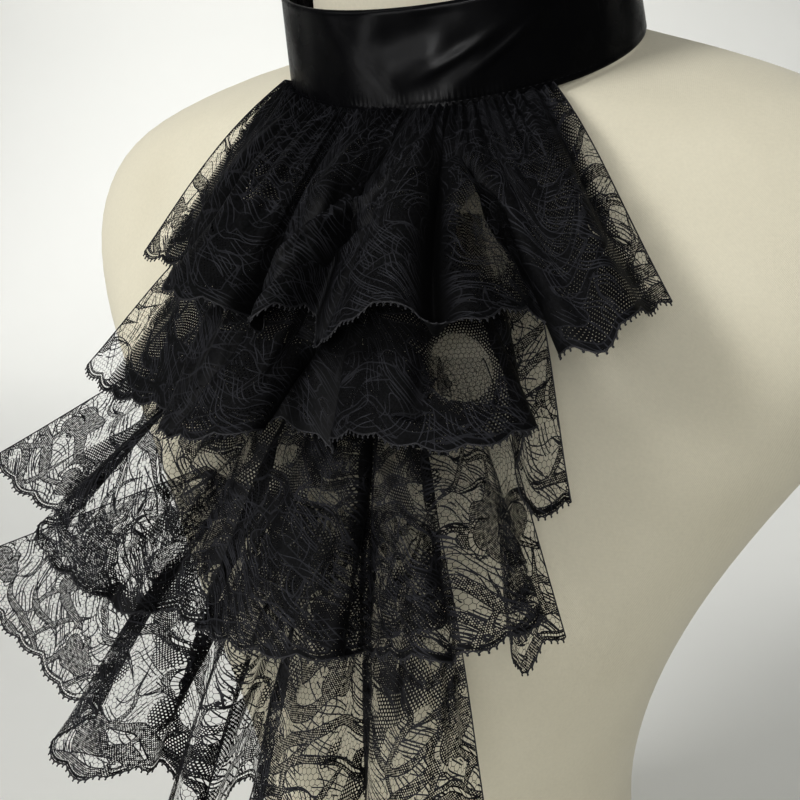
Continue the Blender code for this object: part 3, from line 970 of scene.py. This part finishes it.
# angle: round the band, in degrees from the front; above: the band's lower edge; length and
# width: of the crease; depth: below 0 for a ridge; lean: its slant, in degrees.
BAND_CREASES = [
    # angle, above, length, width, depth, lean
    (24.5, 17.0, 13.0, 1.8, -0.55, 22.0),
    (39.5, 18.0, 12.0, 1.4, -0.6, 28.0),
    (-4.0, 14.0, 15.0, 2.8, 0.9, -48.0),
    (11.0, 23.0, 13.0, 6.0, 0.8, 20.0),
    (-28.0, 14.0, 24.0, 7.0, 0.5, -50.0),
    (80.0, 16.0, 24.0, 8.0, 0.5, 60.0),
    (-75.0, 17.0, 26.0, 8.0, 0.5, -60.0),
    (130.0, 15.0, 24.0, 7.0, 0.5, 50.0),
    (-130.0, 16.0, 26.0, 8.0, 0.5, -50.0),
]


def band_relief(angle, above):
    """How far the satin's outer face stands out: soft creases, and puckers over the seam."""
    relief = np.zeros(np.broadcast(angle, above).shape)
    for turn, height, length, width, depth, lean in BAND_CREASES:
        round_it = (angle - radians(turn)) * BAND_RADIUS
        upward = above - height
        lengthwise = round_it * cos(radians(lean)) + upward * sin(radians(lean))
        across = upward * cos(radians(lean)) - round_it * sin(radians(lean))
        relief -= depth * np.exp(-(lengthwise / length) ** 2 - (across / width) ** 2)
    run = angle * BAND_RADIUS
    gathered = np.exp(-((np.degrees(angle) - 12.0) / 26.0) ** 4)
    pucker = np.sin(2 * pi * (run / PUCKER_SPACING + 0.4 * np.sin(run / 6.1)))
    relief += PUCKER_DEPTH * gathered * pucker * np.exp(-((above - 3.0) / 2.6) ** 2)
    # The stitches draw a fine groove.
    relief -= 0.22 * np.exp(-((above - STITCH_HEIGHT) / 0.5) ** 2)
    return relief


def band_stand(angle):
    """How far the band stands off the neck on the wearer's left."""
    return BAND_STAND * np.exp(-((np.degrees(angle) - 100.0) / 48.0) ** 2)


def band_radius(above):
    """The radius of the band's outer face before it is creased."""
    return BAND_RADIUS + (BAND_TOP_RADIUS - BAND_RADIUS) * above / BAND_HEIGHT


def add_neckband(satin, thread):
    """The satin band: a closed wall with rounded edges, run once round and lapped behind."""
    angles = np.linspace(-pi - BAND_OVERLAP / 2, pi + BAND_OVERLAP / 2, 720)
    lifts = np.interp(angles, (BAND_LIFT_START, BAND_LIFT_END),
                      (0.0, BAND_WALL + BAND_OVERLAP_GAP))
    half = BAND_WALL / 2
    arc = np.linspace(0.0, pi, 6)[1:-1]
    outer = np.linspace(half, BAND_HEIGHT - half, 46)
    inner = np.linspace(BAND_HEIGHT - half, half, 9)
    # Each point of the wall's profile: above, depth from the outer face, on that face.
    profile = ([(above, 0.0, True) for above in outer]
               + [(BAND_HEIGHT - half + half * sin(t), half - half * cos(t), False) for t in arc]
               + [(above, BAND_WALL, False) for above in inner]
               + [(half - half * sin(t), half + half * cos(t), False) for t in arc])
    rows = []
    for above, depth, outside in profile:
        radius = band_radius(above) - depth + lifts
        # The creases fade out towards the edges of the outer face.
        ease = min(min(above - half, BAND_HEIGHT - half - above) / 2.0, 1.0) if outside else 0.0
        rows.append(ring_point(radius + band_stand(angles) + ease * band_relief(angles, above),
                               angles, above - band_drop(angles)))
    grid = np.array(rows)
    count, columns = grid.shape[:2]
    index = np.arange(count * columns).reshape(count, columns)
    a, b = index, np.roll(index, -1, axis=0)
    faces = np.stack([a[:, :-1], a[:, 1:], b[:, 1:], b[:, :-1]], axis=-1).reshape(-1, 4).tolist()
    faces.append(index[:, 0].tolist())
    faces.append(index[::-1, -1].tolist())
    piece = make_piece("neckband_satin", grid, faces, satin)
    run = angles * BAND_RADIUS
    girth = lengths_along(grid[:, columns // 2])
    flat = np.broadcast_arrays(run[None, :] + 300.0, girth[:, None])
    add_uv(piece, "cloth", np.stack(flat, axis=-1))
    stitches = band_stitches(angles, lifts, thread)
    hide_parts("neckband")


def band_stitches(angles, lifts, thread):
    """A row of small stitches along the band's lower edge, their ends sunk in the satin."""
    step = STITCH_SPACING / BAND_RADIUS
    sink = np.array([-0.20, 0.0, 0.04, 0.0, -0.20])
    shapes = []
    for middle in np.arange(angles[0] + step, angles[-1] - step, step):
        turn = middle + np.linspace(-0.36, 0.36, 5) * step
        radius = (band_radius(STITCH_HEIGHT) + np.interp(turn, angles, lifts) + sink
                  + band_relief(turn, STITCH_HEIGHT) + band_stand(turn))
        path = ring_point(radius, turn, STITCH_HEIGHT - band_drop(turn))
        normals = unit(ring_point(1.0, turn, 0.0))
        shapes.append(tube(path, normals, STITCH_RADIUS, 4))
    return make_piece("neckband_stitches", *join_shapes(shapes), thread)


# ---- the form ----


def add_form(canvas):
    """The form's own solid: its loose triangles merged, and rounded off but for its underside."""
    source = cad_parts["dress_form"]
    piece = bpy.data.objects.new("dress_form_canvas", source.data.copy())
    bpy.context.scene.collection.objects.link(piece)
    bpy.ops.object.select_all(action="DESELECT")
    piece.select_set(True)
    bpy.context.view_layer.objects.active = piece
    bpy.ops.object.mode_set(mode="EDIT")
    bpy.ops.mesh.select_all(action="SELECT")
    bpy.ops.mesh.remove_doubles(threshold=0.02 * MM)
    bpy.ops.mesh.tris_convert_to_quads()
    bpy.ops.object.mode_set(mode="OBJECT")
    bottom = min(vertex.co.z for vertex in piece.data.vertices)
    crease = piece.data.attributes.new("crease_edge", "FLOAT", "EDGE")
    for edge in piece.data.edges:
        if all(piece.data.vertices[end].co.z < bottom + 0.1 * MM for end in edge.vertices):
            crease.data[edge.index].value = 1.0
    round_off = piece.modifiers.new("round_off", "SUBSURF")
    round_off.levels = 2
    round_off.render_levels = 2
    bpy.ops.object.modifier_apply(modifier="round_off")
    piece.data.shade_smooth()
    piece.data.materials.clear()
    piece.data.materials.append(canvas)
    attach(piece, "root")
    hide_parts("dress_form")


# ---- the room, in metres ----

ROOM_HALF_WIDTH = 3.2
ROOM_HALF_DEPTH = 2.6
ROOM_AHEAD = 1.0
SWEEP_START = 0.73
SWEEP_HEIGHT = 0.7
WALL_HEIGHT = 2.4


def add_room():
    """A pale floor that sweeps up all round into plain walls."""
    sides = 96
    turns = np.linspace(0.0, 2 * pi, sides + 1)[:-1]
    corner = (np.abs(np.cos(turns)) ** 4 + np.abs(np.sin(turns)) ** 4) ** -0.25
    plan = np.stack([ROOM_HALF_WIDTH * corner * np.cos(turns),
                     ROOM_HALF_DEPTH * corner * np.sin(turns)], axis=-1)
    # Each ring's share of the plan, and its height.
    profile = [(0.02, 0.0), (0.35, 0.0), (SWEEP_START, 0.0)]
    profile += [(SWEEP_START + (1.0 - SWEEP_START) * sin(t), SWEEP_HEIGHT * (1 - cos(t)))
                for t in np.linspace(0, pi / 2, 12)[1:]]
    profile += [(1.0, WALL_HEIGHT)]
    grid = np.array([np.column_stack([plan * share - (0.0, ROOM_AHEAD), np.full(sides, height)])
                     for share, height in profile])
    index = np.arange(sides * len(profile)).reshape(len(profile), sides)
    a, b = index[:-1], np.roll(index[:-1], -1, axis=1)
    c, d = np.roll(index[1:], -1, axis=1), index[1:]
    faces = np.stack([a, d, c, b], axis=-1).reshape(-1, 4).tolist()
    faces.append(index[0].tolist())
    mesh = bpy.data.meshes.new("floor")
    mesh.from_pydata(grid.reshape(-1, 3).tolist(), [], faces)
    mesh.shade_smooth()
    mesh.materials.append(floor_finish())
    floor = bpy.data.objects.new("floor", mesh)
    bpy.context.scene.collection.objects.link(floor)


def add_light(name, place, target, size, power, spread=180.0):
    """A rectangular lamp that looks at its target; spread in degrees."""
    light = bpy.data.lights.new(name, "AREA")
    light.shape = "RECTANGLE"
    light.size, light.size_y = size
    light.energy = power
    light.spread = radians(spread)
    lamp = bpy.data.objects.new(name, light)
    lamp.location = place
    aim = Vector(target) - Vector(place)
    lamp.rotation_euler = aim.to_track_quat("-Z", "Y").to_euler()
    bpy.context.scene.collection.objects.link(lamp)
    return lamp


def add_lights():
    """Two softboxes on the collar, two on the walls, two cards for the satin, and a pale sky."""
    add_light("key_softbox", (-1.00, -1.60, 1.45), (0.0, -0.05, 0.36), (0.8, 0.8), 3.5, 50.0)
    add_light("fill_softbox", (0.95, -2.0, 0.85), (0.0, -0.05, 0.30), (1.2, 1.2), 1.6, 50.0)
    add_light("wall_softbox", (-1.15, 0.75, 1.6), (-1.15, 1.45, 0.2), (1.6, 0.6), 10.7, 120.0)
    add_light("front_wall_softbox", (1.3, -1.9, 1.7), (2.3, -3.0, 0.4), (1.4, 0.6), 6.0, 120.0)
    # The cards give the satin its highlights, and are kept off every matt surface.
    blotch = add_light("blotch_card", (-0.235, -0.461, 0.182), (0.0, -0.06, 0.40),
                       (0.20, 0.11), 2.7)
    streak = add_light("streak_card", (0.18, -0.60, 0.385), (0.02, -0.06, 0.40),
                       (0.12, 0.12), 9.0)
    for card in (blotch, streak):
        card.visible_diffuse = False
    world = bpy.data.worlds.new("pale_room")
    world.use_nodes = True
    background = world.node_tree.nodes["Background"]
    background.inputs["Color"].default_value = (0.92, 0.93, 0.92, 1.0)
    background.inputs["Strength"].default_value = 0.31
    bpy.context.scene.world = world


# Where the camera stands, and the directions to its right and ahead of it.
CAMERA_PLACE = (0.1741, -0.3911, NECK_HEIGHT * MM - 0.0401)
CAMERA_RIGHT = (0.891, 0.454, 0.0049)
CAMERA_AHEAD = (-0.442, 0.8699, -0.2188)


def add_camera():
    """The camera, close in front on the wearer's left and a little tilted."""
    camera = bpy.data.cameras.new("camera")
    camera.lens = 49.1
    camera.sensor_width = 36.0
    camera.clip_start = 0.01
    holder = bpy.data.objects.new("camera", camera)
    ahead = Vector(CAMERA_AHEAD).normalized()
    upward = Vector(CAMERA_RIGHT).normalized().cross(ahead).normalized()
    turn = Matrix((ahead.cross(upward), upward, -ahead)).transposed().to_4x4()
    turn.translation = Vector(CAMERA_PLACE)
    holder.matrix_world = turn
    bpy.context.scene.collection.objects.link(holder)
    bpy.context.scene.camera = holder


def main():
    add_camera()
    add_lights()
    add_room()
    lace, thread = lace_finish(), thread_finish()
    add_form(canvas_finish())
    add_neckband(satin_finish(), thread)
    add_panel(net_finish())
    for number, tier in enumerate(TIERS, 1):
        add_tier(number, tier, lace, thread)
    bpy.context.scene.view_settings.view_transform = "Standard"


main()
